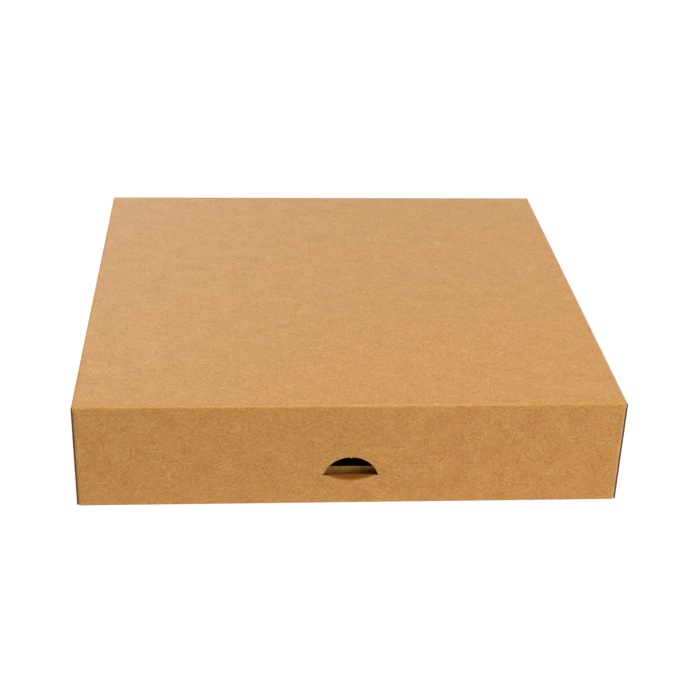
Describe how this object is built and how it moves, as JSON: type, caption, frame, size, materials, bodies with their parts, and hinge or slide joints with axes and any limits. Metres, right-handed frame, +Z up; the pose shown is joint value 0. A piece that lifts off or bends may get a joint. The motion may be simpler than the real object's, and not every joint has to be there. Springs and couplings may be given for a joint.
{
  "type": "pastry box",
  "caption": "Low square pastry box folded from plain kraft board, with a hinged full-height lid over a low-fronted tray and a half-moon finger hole in the lid's front.",
  "frame": {"origin": "middle of the box's footprint, on the surface it stands on", "axes": "+X to the right, +Y to the rear, where the lid's hinge crease is, and +Z up; the front with the finger hole faces -Y"},
  "size_m": [0.305, 0.305, 0.0635],
  "materials": {
    "kraft_board": "matte uncoated brown kraft board"
  },
  "bodies": {
    "tray": {"tray": "kraft_board"},
    "lid": {"lid": "kraft_board"}
  },
  "joints": [
    {"name": "lid_hinge", "type": "hinge", "parent": "tray", "child": "lid", "pos_m": [0, 0.1528, 0.0619], "axis": [-1, 0, 0], "range_deg": [0, 180]}
  ]
}
